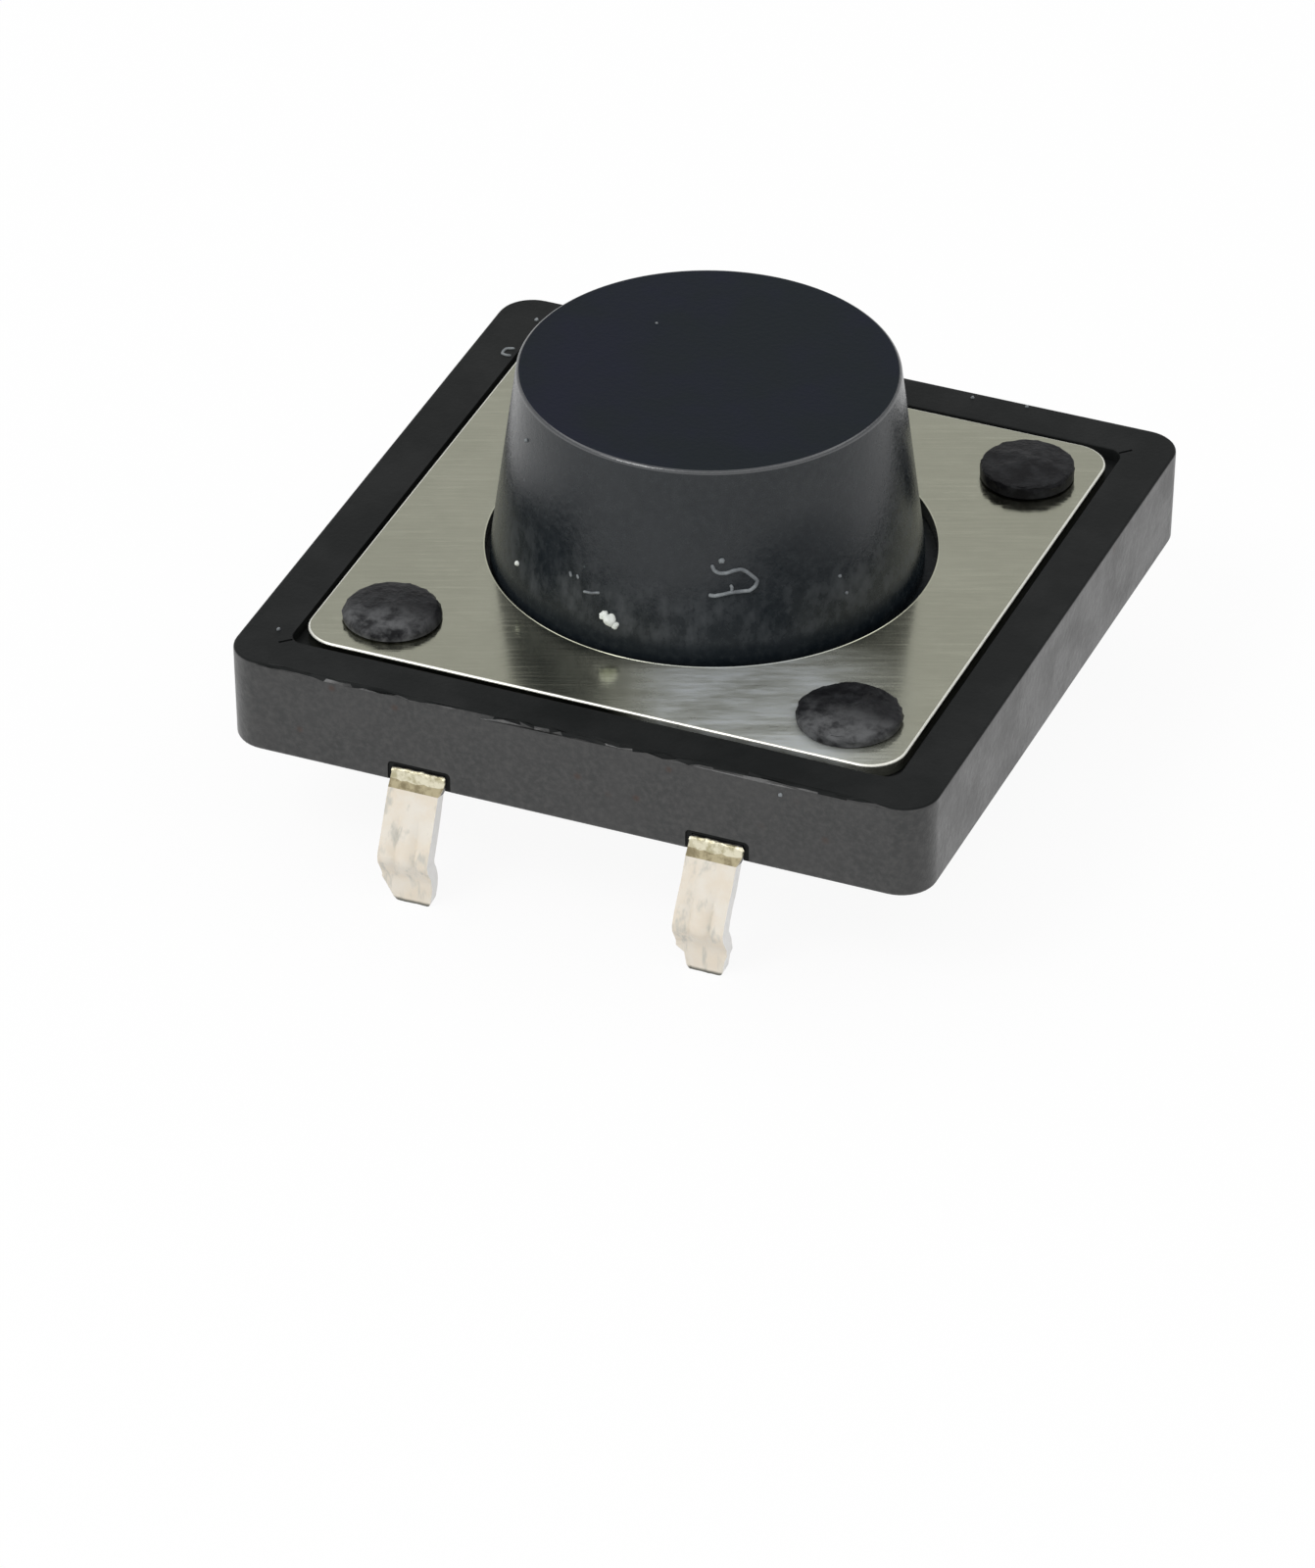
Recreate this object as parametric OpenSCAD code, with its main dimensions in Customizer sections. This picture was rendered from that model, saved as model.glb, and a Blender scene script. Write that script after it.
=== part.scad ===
// Tactile push button switch with a round button, for a printed circuit board.
// The origin is the centre of the base's underside, which sits on the board. Z points up.
// Millimetres. The legs stand along the front and back faces, at -Y and +Y.

/* [Base] */
// Width and depth of the base at its top edge
base_w = 12; // [11.6:0.1:13]
// Height of the base from the board to the top of its frame
base_h = 1.67; // [1.6:0.01:2.2]
// Plan radius of the base's four corners
base_corner_r = 0.6; // [0.4:0.05:0.9]
// How much each wall leans in from the top edge to the underside
wall_draft = 0.03; // [0.01:0.01:0.08]
// Thickness of the floor under the contact chamber
floor_t = 0.5; // [0.46:0.01:0.55]
// Corner radius of the recess that holds the cover plate
recess_corner_r = 0.25; // [0.15:0.05:0.4]
// Gap between the cover plate and the recess wall
recess_gap = 0.1; // [0.05:0.01:0.15]
// Radius of the small relief nick at two of the recess corners
relief_r = 0.12; // [0.06:0.01:0.16]
// Depth of the relief nick below the frame's top
relief_depth = 0.12; // [0.05:0.01:0.2]

/* [Cover plate] */
// Width and depth of the cover plate
plate_w = 10.2; // [10:0.05:10.4]
// Sheet thickness of the cover plate
plate_t = 0.25; // [0.2:0.01:0.3]
// Corner radius of the cover plate
plate_corner_r = 0.62; // [0.4:0.02:0.8]
// How far the plate's top face stands above the frame
plate_proud = 0.03; // [0:0.01:0.08]

/* [Staked posts] */
// Distance of each post from the middle, along X and along Y
post_offset = 3.95; // [3.9:0.01:4.05]
// Radius of a post below its head
post_r = 0.55; // [0.45:0.01:0.6]
// Clearance round a post in the cover plate's hole
post_gap = 0.05; // [0.03:0.01:0.08]
// Radius of the spread head
head_r = 0.83; // [0.75:0.01:0.9]
// Height of the spread head above the cover plate
head_h = 0.25; // [0.15:0.01:0.35]

/* [Button] */
// Radius of the button where it leaves the cover plate
button_r = 3.52; // [3.3:0.01:3.6]
// Radius of the button's side carried up to its top
button_top_r = 3.13; // [2.9:0.01:3.25]
// Height of the button above the cover plate
button_rise = 3.3; // [2:0.05:6]
// Radius of the button's rounded top edge
button_edge_r = 0.12; // [0.1:0.01:0.4]
// Clearance round the button in the cover plate's hole
button_gap = 0.15; // [0.08:0.01:0.18]
// Width across the flats of the square flange that keeps the button in
flange_w = 7.8; // [7.75:0.01:7.9]
// Radius that trims the flange's corners
flange_corner_r = 4.25; // [4.1:0.01:4.35]
// Thickness of the flange
flange_t = 0.3; // [0.2:0.01:0.32]
// Clearance round the flange in its chamber
flange_gap = 0.1; // [0.05:0.01:0.14]
// Radius of the nub that presses the snap dome
nub_r = 0.8; // [0.5:0.05:1.1]
// How far the nub stands out below the flange
nub_l = 0.11; // [0.08:0.01:0.12]
// How far the button travels when it is pressed
travel = 0.3; // [0.2:0.01:0.34]

/* [Snap dome] */
// Rim radius of the snap dome
dome_r = 3.1; // [2.9:0.01:3.2]
// Thickness of the dome's foil
dome_t = 0.08; // [0.05:0.01:0.09]

/* [Terminals] */
// Distance between the two terminals, and between the legs of one side
leg_pitch = 5; // [4.9:0.05:5.1]
// Width of a leg and of the strip that carries it
leg_w = 0.98; // [0.8:0.01:1.05]
// Sheet thickness of a terminal
lead_t = 0.25; // [0.2:0.01:0.27]
// How far the terminals lie inside the underside
lead_inset = 0.04; // [0.02:0.01:0.05]
// Depth of the leg tips below the underside
leg_drop = 2; // [1.6:0.05:4]
// Depth of the kink's outermost point below the underside
kink_drop = 1.15; // [0.9:0.05:1.3]
// How far the kink stands out past the base
kink_out = 0.57; // [0.4:0.01:0.7]
// How far the tip stands out past the base
tip_out = 0.36; // [0.25:0.01:0.45]
// Width of a leg at its tip
tip_w = 0.52; // [0.4:0.01:0.7]
// Length of the straight part above a leg's tip
tip_l = 0.48; // [0.3:0.01:0.6]
// Width of the crease pressed into a leg's outer face
crease_w = 0.24; // [0.16:0.01:0.3]
// Depth of that crease
crease_depth = 0.05; // [0.03:0.01:0.08]
// Gap round a leg in its notch in the wall
notch_gap = 0.08; // [0.04:0.01:0.12]
// Radius of a contact pad under the dome's rim
pad_r = 0.4; // [0.3:0.01:0.42]
// Radius of the contact in the middle
centre_pad_r = 0.7; // [0.5:0.05:0.9]
// How far the rim pads stand above the chamber's floor
pad_proud = 0.06; // [0.04:0.01:0.08]
// Half the distance between the outer terminal's two arms
arm_y = 2.75; // [2.65:0.01:2.8]
// Width of an arm and of the middle tongue
arm_w = 0.8; // [0.6:0.05:0.84]

/* [Hidden] */
$fn = 96;

// Cutters reach this far past the faces that they cut
past = 0.2;
// Clearance of a sliding fit and between faces that nearly meet
fit = 0.02;
// Clearance round the terminals in their channels
lead_fit = 0.03;

// Levels, from the board up
lead_top_z = lead_inset + lead_t;
pad_z = floor_t + pad_proud;
plate_top_z = base_h + plate_proud;
plate_z = plate_top_z - plate_t;
flange_top_z = plate_z - fit;
flange_z = flange_top_z - flange_t;
button_top_z = plate_top_z + button_rise;
nub_z = flange_z - nub_l;
// The dome's crown reaches up to the nub, and the middle contact waits one travel below it
crown_z = nub_z - fit - dome_t;
dome_rise = crown_z - pad_z;
centre_pad_z = crown_z - travel;

// Half sizes in plan
base_half = base_w / 2;
plate_half = plate_w / 2;
recess_half = plate_half + recess_gap;
chamber_half = flange_w / 2 + flange_gap;
hole_r = button_r + button_gap;

// Profile of a leg's outer face in Y and Z, from the wall down to the tip
leg_edge = 0.07;
leg_stand = 0.02;
neck_drop = 0.12;
neck_out = 0.1;
tip_z = -leg_drop;
step_z = tip_z + tip_l;
leg_out = [
    [-base_half - leg_stand + leg_edge, lead_top_z],
    [-base_half - leg_stand, lead_top_z - leg_edge],
    [-base_half - neck_out, -neck_drop],
    [-base_half - kink_out, -kink_drop],
    [-base_half - tip_out, step_z],
    [-base_half - tip_out, tip_z]
];
// The leg's thickness measured along Y, a little more than the sheet because it leans
leg_y_t = 1.08 * lead_t;
// Where a leg begins, inside the wall, and how far the strip runs on under it
leg_root_l = 1;
leg_lap = 0.3;
leg_root_y = -base_half + leg_root_l;
spine_l = 2 * (leg_lap - leg_root_y);
leg_lean = atan((kink_out - neck_out) / (kink_drop - neck_drop));
// Shoulders of a leg: how far its top corners are trimmed
shoulder = 0.07;

// Arms of the outer terminal end short of the centre terminal's strip
arm_gap = 0.18;
arm_end_x = leg_pitch / 2 - leg_w / 2 - arm_gap;
arm_pad_x = sqrt(pow(dome_r, 2) - pow(arm_y, 2));
spine_pad_y = sqrt(pow(dome_r, 2) - pow(leg_pitch / 2, 2));

// Points of an arc about c, from angle a to angle b
function arc(c, r, a, b, n = 8) =
    [for (i = [0:n]) c + r * [cos(a + (b - a) * i / n), sin(a + (b - a) * i / n)]];

// A square with round corners, centred
module rounded_square(half, r) {
    square([2 * half, 2 * (half - r)], center = true);
    square([2 * (half - r), 2 * half], center = true);
    for (x = [-1, 1], y = [-1, 1])
        translate([x, y] * (half - r)) circle(r);
}

// A square whose corners are trimmed by a circle, centred
module trimmed_square(half, r) {
    intersection() {
        square(2 * half, center = true);
        circle(r);
    }
}

// A block with round corners whose four walls lean in by draft towards the bottom
module drafted_block(half, r, h, draft) {
    c = half - r;
    profile = [[-half + draft, 0], [half - draft, 0], [half, h], [-half, h]];
    for (turn = [0, 90])
        rotate([0, 0, turn]) translate([0, c, 0]) rotate([90, 0, 0])
            linear_extrude(2 * c) polygon(profile);
    for (x = [-1, 1], y = [-1, 1])
        translate([x * c, y * c, 0]) cylinder(h = h, r1 = r - draft, r2 = r);
}

module at_posts() {
    for (x = [-1, 1], y = [-1, 1])
        translate([x * post_offset, y * post_offset, 0]) children();
}

// Head of a staked post, melted over the plate and a little domed
module staked_head() {
    bulge = 0.012;
    rotate_extrude()
        polygon(concat(
            [[0, 0], [head_r - bulge, 0], [head_r, 0.25 * head_h]],
            arc([head_r - 0.45 * head_h, 0.5 * head_h], 0.45 * head_h, 0, 80),
            [[0.5 * head_r, 0.98 * head_h], [0, head_h]]));
}

// Plan of the outer terminal's strip inside the base: a spine with two arms
module outer_plan(grow = 0) {
    translate([-leg_pitch / 2, 0])
        square([leg_w + 2 * grow, spine_l], center = true);
    for (y = [-1, 1])
        translate([-leg_pitch / 2, y * arm_y - arm_w / 2 - grow])
            square([leg_pitch / 2 + arm_end_x + grow, arm_w + 2 * grow]);
}

// Plan of the centre terminal's strip: a spine with a tongue to the middle
module centre_plan(grow = 0) {
    translate([leg_pitch / 2, 0])
        square([leg_w + 2 * grow, spine_l], center = true);
    translate([-centre_pad_r - grow, -arm_w / 2 - grow])
        square([leg_pitch / 2 + centre_pad_r + grow, arm_w + 2 * grow]);
    circle(centre_pad_r + grow);
}

module at_rim_pads() {
    for (y = [-1, 1]) {
        translate([-leg_pitch / 2, y * spine_pad_y, 0]) children();
        translate([arm_pad_x, y * arm_y, 0]) children();
    }
}

// One kinked leg on the front face, at x = 0, with its root inside the wall
module front_leg() {
    root = [[leg_root_y, lead_top_z]];
    inner = [
        [-base_half - tip_out + leg_y_t, tip_z],
        [-base_half - tip_out + leg_y_t, step_z],
        [-base_half - kink_out + leg_y_t, -kink_drop],
        [-base_half - neck_out + leg_y_t, -neck_drop],
        [-base_half - leg_stand + leg_y_t + leg_edge, lead_inset],
        [leg_root_y, lead_inset]
    ];
    face = [
        [-leg_w / 2 + shoulder, lead_top_z + past], [leg_w / 2 - shoulder, lead_top_z + past],
        [leg_w / 2 - shoulder, lead_top_z - shoulder], [leg_w / 2, lead_top_z - 2 * shoulder],
        [leg_w / 2, step_z], [tip_w / 2, tip_z],
        [-tip_w / 2, tip_z], [-leg_w / 2, step_z],
        [-leg_w / 2, lead_top_z - 2 * shoulder], [-leg_w / 2 + shoulder, lead_top_z - shoulder]
    ];
    crease_top = 0.3;
    crease_l = (kink_drop - neck_drop) / cos(leg_lean) - crease_top - 0.06;
    difference() {
        intersection() {
            rotate([90, 0, 90]) translate([0, 0, -leg_w])
                linear_extrude(2 * leg_w) polygon(concat(root, leg_out, inner));
            translate([0, leg_root_y, 0]) rotate([90, 0, 0])
                linear_extrude(2 * base_half) polygon(face);
        }
        // The crease runs down the leaning part of the outer face
        translate([0, -base_half - neck_out, -neck_drop]) rotate([-leg_lean, 0, 0])
            translate([0, 0, -crease_top - crease_l])
                linear_extrude(crease_l)
                    polygon([[-crease_w / 2, -past / 4], [-crease_w / 2, 0],
                             [0, crease_depth], [crease_w / 2, 0], [crease_w / 2, -past / 4]]);
    }
}

// The two legs of one terminal, on the front and back faces
module leg_pair() {
    front_leg();
    mirror([0, 1, 0]) front_leg();
}

// Notch in the bottom of a wall, which a leg comes out of
module leg_notches() {
    notch_w = leg_w + 2 * notch_gap;
    notch_depth = 0.4;
    for (x = [-1, 1], y = [-1, 1])
        translate([x * leg_pitch / 2 - notch_w / 2,
                   y > 0 ? base_half - notch_depth : -base_half - past, -past])
            cube([notch_w, notch_depth + past, past + lead_top_z + notch_gap]);
}

module base_housing() {
    color([0.13, 0.14, 0.14]) {
        difference() {
            drafted_block(base_half, base_corner_r, base_h, wall_draft);
            // Recess for the cover plate, with relief nicks at two corners
            translate([0, 0, plate_z])
                linear_extrude(base_h) rounded_square(recess_half, recess_corner_r);
            for (side = [-1, 1])
                translate([side * recess_half, side * recess_half, base_h - relief_depth])
                    cylinder(h = base_h, r = relief_r);
            // Contact chamber
            translate([0, 0, floor_t])
                linear_extrude(base_h)
                    trimmed_square(chamber_half, flange_corner_r + flange_gap);
            // Channels in the underside for the two terminals
            translate([0, 0, -past]) linear_extrude(past + lead_top_z) {
                outer_plan(lead_fit);
                centre_plan(lead_fit);
                for (x = [-1, 1])
                    translate([x * leg_pitch / 2, 0])
                        square([leg_w + 2 * lead_fit, base_w + past], center = true);
            }
            // Windows in the floor for the contact pads
            at_rim_pads() cylinder(h = base_h, r = pad_r + lead_fit);
            cylinder(h = base_h, r = centre_pad_r + lead_fit);
            leg_notches();
        }
        at_posts() {
            translate([0, 0, plate_z]) cylinder(h = plate_t, r = post_r);
            translate([0, 0, plate_top_z]) staked_head();
        }
    }
}

module cover_plate() {
    color([0.58, 0.58, 0.53])
        translate([0, 0, plate_z])
            linear_extrude(plate_t)
                difference() {
                    rounded_square(plate_half, plate_corner_r);
                    circle(hole_r);
                    for (x = [-1, 1], y = [-1, 1])
                        translate([x, y] * post_offset) circle(post_r + post_gap);
                }
}

module button() {
    // Where the rounded top edge is tangent to the leaning side and to the top
    lean = atan((button_r - button_top_r) / button_rise);
    edge_z = button_top_z - button_edge_r;
    edge_x = button_top_r + button_edge_r * tan(lean) - button_edge_r / cos(lean);
    color([0.15, 0.16, 0.18]) {
        rotate_extrude()
            polygon(concat(
                [[0, flange_top_z], [button_r, flange_top_z], [button_r, plate_top_z]],
                arc([edge_x, edge_z], button_edge_r, lean, 90, 10),
                [[0, button_top_z]]));
        translate([0, 0, flange_z]) linear_extrude(flange_t)
            trimmed_square(flange_w / 2, flange_corner_r);
        translate([0, 0, nub_z]) cylinder(h = flange_top_z - nub_z, r = nub_r);
    }
}

module contact_dome() {
    inner_r = (pow(dome_r, 2) + pow(dome_rise, 2)) / (2 * dome_rise);
    color([0.72, 0.72, 0.70])
        translate([0, 0, crown_z - inner_r])
            intersection() {
                rotate_extrude($fn = 96) difference() {
                    intersection() {
                        circle(inner_r + dome_t, $fn = 720);
                        square(2 * inner_r);
                    }
                    circle(inner_r, $fn = 720);
                }
                translate([0, 0, inner_r - dome_rise]) cylinder(h = 2 * dome_rise, r = dome_r);
            }
}

module terminal_strip_outer() {
    color([0.80, 0.77, 0.70]) {
        translate([0, 0, lead_inset]) linear_extrude(lead_t) outer_plan();
        at_rim_pads() translate([0, 0, lead_inset]) cylinder(h = pad_z - lead_inset, r = pad_r);
        translate([-leg_pitch / 2, 0, 0]) leg_pair();
    }
}

module terminal_strip_centre() {
    color([0.80, 0.77, 0.70]) {
        translate([0, 0, lead_inset]) linear_extrude(lead_t) centre_plan();
        translate([0, 0, lead_inset]) cylinder(h = centre_pad_z - lead_inset, r = centre_pad_r);
        translate([leg_pitch / 2, 0, 0]) leg_pair();
    }
}

base_housing();
cover_plate();
button();
contact_dome();
terminal_strip_outer();
terminal_strip_centre();
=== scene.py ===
import math

import bmesh
import bpy
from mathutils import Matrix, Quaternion, Vector


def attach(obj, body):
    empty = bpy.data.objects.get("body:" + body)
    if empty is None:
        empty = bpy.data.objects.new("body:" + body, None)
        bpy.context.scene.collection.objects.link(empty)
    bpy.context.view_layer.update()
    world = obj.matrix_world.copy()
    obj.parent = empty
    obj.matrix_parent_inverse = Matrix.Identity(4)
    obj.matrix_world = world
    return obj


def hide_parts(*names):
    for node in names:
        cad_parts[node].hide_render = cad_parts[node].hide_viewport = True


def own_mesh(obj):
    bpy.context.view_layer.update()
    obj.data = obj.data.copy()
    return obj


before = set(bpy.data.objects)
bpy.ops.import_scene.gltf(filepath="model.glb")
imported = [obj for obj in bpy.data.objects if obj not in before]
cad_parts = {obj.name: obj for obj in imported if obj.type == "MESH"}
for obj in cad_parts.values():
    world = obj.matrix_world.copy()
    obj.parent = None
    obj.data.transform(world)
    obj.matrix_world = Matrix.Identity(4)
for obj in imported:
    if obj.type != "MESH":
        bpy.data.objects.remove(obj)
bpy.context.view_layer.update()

# Pieces are modelled in millimetres, and brought down to metres once they are finished
MM = 0.001

# Heights above the board, and half sizes in plan
BASE_HALF = 6.0
BASE_TOP = 1.67
PLATE_HALF = 5.1
PLATE_UNDER = 1.45
PLATE_TOP = 1.70
RECESS_HALF = 5.2
HOLE_R = 3.67
POST_AT = 3.95
POST_HOLE_R = 0.6
CHAMBER_R = 4.35
CHAMBER_HALF = 4.0
BUTTON_TOP = 5.0
BUTTON_LOW_R = 3.52
BUTTON_HIGH_R = 3.09
# The button stands a little to one side in its hole
BUTTON_SHIFT = (-0.06, -0.024)
BUTTON_EDGE_R = 0.065
FLANGE_R = 4.25
FLANGE_HALF = 3.9
FLANGE_UNDER = 1.13
FLANGE_TOP = 1.43
NUB_R = 0.8
NUB_UNDER = 1.02
FLOOR_TOP = 0.5
PAD_TOP = 0.56
DOME_RIM = 3.1
DOME_RISE = 0.36
FOIL = 0.07
LEAD_UNDER = 0.04
LEAD_TOP = 0.29
LEG_KINK = -1.15
LEG_BEND = -1.52
LEG_TRIM = -1.7
LEG_TIP = -2.0
LEG_X = 2.5
LEG_HALF = 0.49
SPINE_END = 5.8
# The contacts under the dome's rim, and the arms that two of them stand on
CONTACT_R = 0.4
CONTACT_Y = math.sqrt(DOME_RIM ** 2 - LEG_X ** 2)
ARM_Y = 2.75
ARM_HALF = 0.4
ARM_END = 1.83
ARM_CONTACT_X = math.sqrt(DOME_RIM ** 2 - ARM_Y ** 2)
# The contact under the dome's crown
CENTRE_R = 0.7
CENTRE_TOP = 0.62


# Ways of working on a mesh

def only(piece):
    """Makes the piece the one that is selected and worked on."""
    bpy.ops.object.select_all(action="DESELECT")
    piece.select_set(True)
    bpy.context.view_layer.objects.active = piece


def open_mesh(piece):
    only(piece)
    bpy.ops.object.mode_set(mode="EDIT")
    bpy.ops.mesh.select_all(action="DESELECT")


def close_mesh():
    bpy.ops.object.mode_set(mode="OBJECT")


def pick(piece, kind, wanted):
    """In edit mode, selects just the edges or vertices that wanted says yes to."""
    bpy.ops.mesh.select_mode(type=kind)
    bpy.ops.mesh.select_all(action="DESELECT")
    mesh = bmesh.from_edit_mesh(piece.data)
    if kind == "EDGE":
        for edge in mesh.edges:
            if wanted(edge.verts[0].co, edge.verts[1].co):
                edge.select_set(True)
    else:
        for vert in mesh.verts:
            if wanted(vert.co):
                vert.select_set(True)
    bmesh.update_edit_mesh(piece.data)


def both(test):
    """A test of one point made into a test of both ends of an edge."""
    return lambda a, b: test(a) and test(b)


def upright(a, b):
    return abs(a.x - b.x) + abs(a.y - b.y) < 0.1 and abs(a.z - b.z) > 0.1


def put_in_order():
    """In edit mode, sorts the mesh by distance from an odd place, so random draws repeat."""
    bpy.context.scene.cursor.location = (7.31, -9.73, 6.17)
    bpy.ops.mesh.select_all(action="SELECT")
    bpy.ops.mesh.sort_elements(type="CURSOR_DISTANCE", elements={"VERT", "EDGE", "FACE"})


def settle(piece):
    """Puts the piece's place, turn and size into its mesh."""
    only(piece)
    bpy.ops.object.transform_apply(location=True, rotation=True, scale=True)
    return piece


def modify(piece, name, kind, **settings):
    """Puts a modifier on the piece and applies it."""
    only(piece)
    change = piece.modifiers.new(name, kind)
    for setting, value in settings.items():
        setattr(change, setting, value)
    bpy.ops.object.modifier_apply(modifier=change.name)


def block(name, low, high):
    middle = [(a + b) / 2 for a, b in zip(low, high)]
    bpy.ops.mesh.primitive_cube_add(size=1, location=middle)
    piece = bpy.context.object
    piece.name = name
    piece.scale = [b - a for a, b in zip(low, high)]
    return settle(piece)


def drum(name, radius, low, high, sides, at=(0, 0)):
    bpy.ops.mesh.primitive_cylinder_add(
        vertices=sides, radius=radius, depth=high - low,
        location=(at[0], at[1], (low + high) / 2))
    piece = bpy.context.object
    piece.name = name
    return settle(piece)


def outline(name, points):
    """A line of edges that is drawn from point to point, from one starting vertex."""
    bpy.ops.mesh.primitive_plane_add(size=0.1, location=points[0])
    piece = bpy.context.object
    piece.name = name
    settle(piece)
    open_mesh(piece)
    bpy.ops.mesh.select_mode(type="VERT")
    bpy.ops.mesh.select_all(action="SELECT")
    bpy.ops.mesh.merge(type="CENTER")
    for here, there in zip(points, points[1:]):
        step = [b - a for a, b in zip(here, there)]
        bpy.ops.mesh.extrude_region_move(TRANSFORM_OT_translate={"value": step})
    close_mesh()
    return piece


def spin_round(piece, steps):
    """Spins a profile once round Z and closes it."""
    open_mesh(piece)
    bpy.ops.mesh.select_all(action="SELECT")
    bpy.ops.mesh.spin(steps=steps, angle=2 * math.pi, center=(0, 0, 0), axis=(0, 0, 1))
    bpy.ops.mesh.select_all(action="SELECT")
    bpy.ops.mesh.remove_doubles(threshold=0.001)
    bpy.ops.mesh.normals_make_consistent(inside=False)
    close_mesh()


def round_edges(piece, wanted, radius, segments):
    """Rounds just the edges that wanted says yes to."""
    open_mesh(piece)
    pick(piece, "EDGE", wanted)
    bpy.ops.mesh.bevel(offset=radius, segments=segments, affect="EDGES")
    close_mesh()


def square_off(piece, half):
    """Cuts flats on the four sides of a drum."""
    open_mesh(piece)
    for across in ((1, 0, 0), (-1, 0, 0), (0, 1, 0), (0, -1, 0)):
        bpy.ops.mesh.select_all(action="SELECT")
        bpy.ops.mesh.bisect(plane_co=[half * v for v in across], plane_no=across,
                            use_fill=True, clear_outer=True)
    close_mesh()


def combine(piece, tool, how="DIFFERENCE"):
    """Cuts the tool out of the piece, or makes it one with the piece."""
    modify(piece, "Change", "BOOLEAN", operation=how, solver="EXACT", object=tool)
    bpy.data.objects.remove(tool)


def soften(piece, width, angle):
    """Breaks every edge of the piece that is sharper than the angle."""
    modify(piece, "Soften", "BEVEL", width=width, segments=2, limit_method="ANGLE",
           angle_limit=math.radians(angle))


def smooth(piece, angle=40, flat_below=-10.0):
    """Smooth shading that keeps the flat faces flat, and all faces below a height."""
    only(piece)
    bpy.ops.object.shade_smooth_by_angle(angle=math.radians(angle))
    for face in piece.data.polygons:
        if face.center.z < flat_below:
            face.use_smooth = False
    modify(piece, "Even", "WEIGHTED_NORMAL", keep_sharp=True)


def give(piece, *materials):
    for material in materials:
        piece.data.materials.append(material)


def finish_piece(piece, body, nodes=()):
    """Brings a finished piece down to metres and puts it on its body."""
    piece.scale = (MM, MM, MM)
    settle(piece)
    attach(piece, body)
    if nodes:
        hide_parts(*nodes)


# Shader parts

def add(tree, kind, x, y, settings=None, **inputs):
    """Adds a node, with its settings and the values of its sockets."""
    node = tree.nodes.new(kind)
    node.location = (x, y)
    for name, value in (settings or {}).items():
        setattr(node, name, value)
    for name, value in inputs.items():
        node.inputs[name.replace("_", " ")].default_value = value
    return node


def new_group(name, inputs, outputs):
    tree = bpy.data.node_groups.new(name, "ShaderNodeTree")
    for label, kind, value in inputs:
        socket = tree.interface.new_socket(label, in_out="INPUT", socket_type=kind)
        if value is not None:
            socket.default_value = value
    for label, kind in outputs:
        tree.interface.new_socket(label, in_out="OUTPUT", socket_type=kind)
    start = add(tree, "NodeGroupInput", -900, 0)
    end = add(tree, "NodeGroupOutput", 700, 0)
    return tree, start, end


def math_node(tree, x, y, operation, a, b=None):
    """The result of a sum whose terms are sockets or plain numbers."""
    node = add(tree, "ShaderNodeMath", x, y, {"operation": operation})
    for socket, value in zip(node.inputs, (a, b)):
        if hasattr(value, "is_output"):
            tree.links.new(value, socket)
        elif value is not None:
            socket.default_value = value
    return node.outputs[0]


def split(tree, x, y, vector):
    """The X, Y and Z of a vector."""
    node = add(tree, "ShaderNodeSeparateXYZ", x, y)
    tree.links.new(vector, node.inputs[0])
    return node.outputs


def make_mottle_group():
    """Soft uneven patches, from 0 to 1, for colour and gloss."""
    tree, start, end = new_group(
        "Mottle",
        [("Vector", "NodeSocketVector", None), ("Scale", "NodeSocketFloat", 1.0),
         ("Low", "NodeSocketFloat", 0.4), ("High", "NodeSocketFloat", 0.6)],
        [("Mask", "NodeSocketFloat")])
    noise = add(tree, "ShaderNodeTexNoise", -500, 0, Detail=4.0, Roughness=0.6)
    reach = add(tree, "ShaderNodeMapRange", -100, 0, {"interpolation_type": "SMOOTHSTEP"})
    tree.links.new(start.outputs["Vector"], noise.inputs["Vector"])
    tree.links.new(start.outputs["Scale"], noise.inputs["Scale"])
    tree.links.new(noise.outputs["Fac"], reach.inputs["Value"])
    tree.links.new(start.outputs["Low"], reach.inputs["From Min"])
    tree.links.new(start.outputs["High"], reach.inputs["From Max"])
    tree.links.new(reach.outputs["Result"], end.inputs["Mask"])
    return tree


def make_specks_group():
    """Separate small specks of dust: Share of the cells hold one, of about the given Radius."""
    tree, start, end = new_group(
        "Specks",
        [("Vector", "NodeSocketVector", None), ("Scale", "NodeSocketFloat", 2.0),
         ("Share", "NodeSocketFloat", 0.1), ("Radius", "NodeSocketFloat", 0.1)],
        [("Mask", "NodeSocketFloat")])
    cells = add(tree, "ShaderNodeTexVoronoi", -600, 0, Randomness=1.0)
    part = add(tree, "ShaderNodeSeparateColor", -350, 120)
    tree.links.new(start.outputs["Vector"], cells.inputs["Vector"])
    tree.links.new(start.outputs["Scale"], cells.inputs["Scale"])
    tree.links.new(cells.outputs["Color"], part.inputs["Color"])
    chosen = math_node(tree, -100, 120, "LESS_THAN", part.outputs["Red"], start.outputs["Share"])
    size = math_node(tree, -100, -60, "MULTIPLY", part.outputs["Green"], start.outputs["Radius"])
    inside = add(tree, "ShaderNodeMapRange", 150, -60, {"interpolation_type": "SMOOTHSTEP"},
                 To_Min=1.0, To_Max=0.0)
    inside.inputs["From Min"].default_value = 0.0
    tree.links.new(cells.outputs["Distance"], inside.inputs["Value"])
    tree.links.new(size, inside.inputs["From Max"])
    mask = math_node(tree, 400, 0, "MULTIPLY", chosen, inside.outputs["Result"])
    tree.links.new(mask, end.inputs["Mask"])
    return tree


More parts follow.
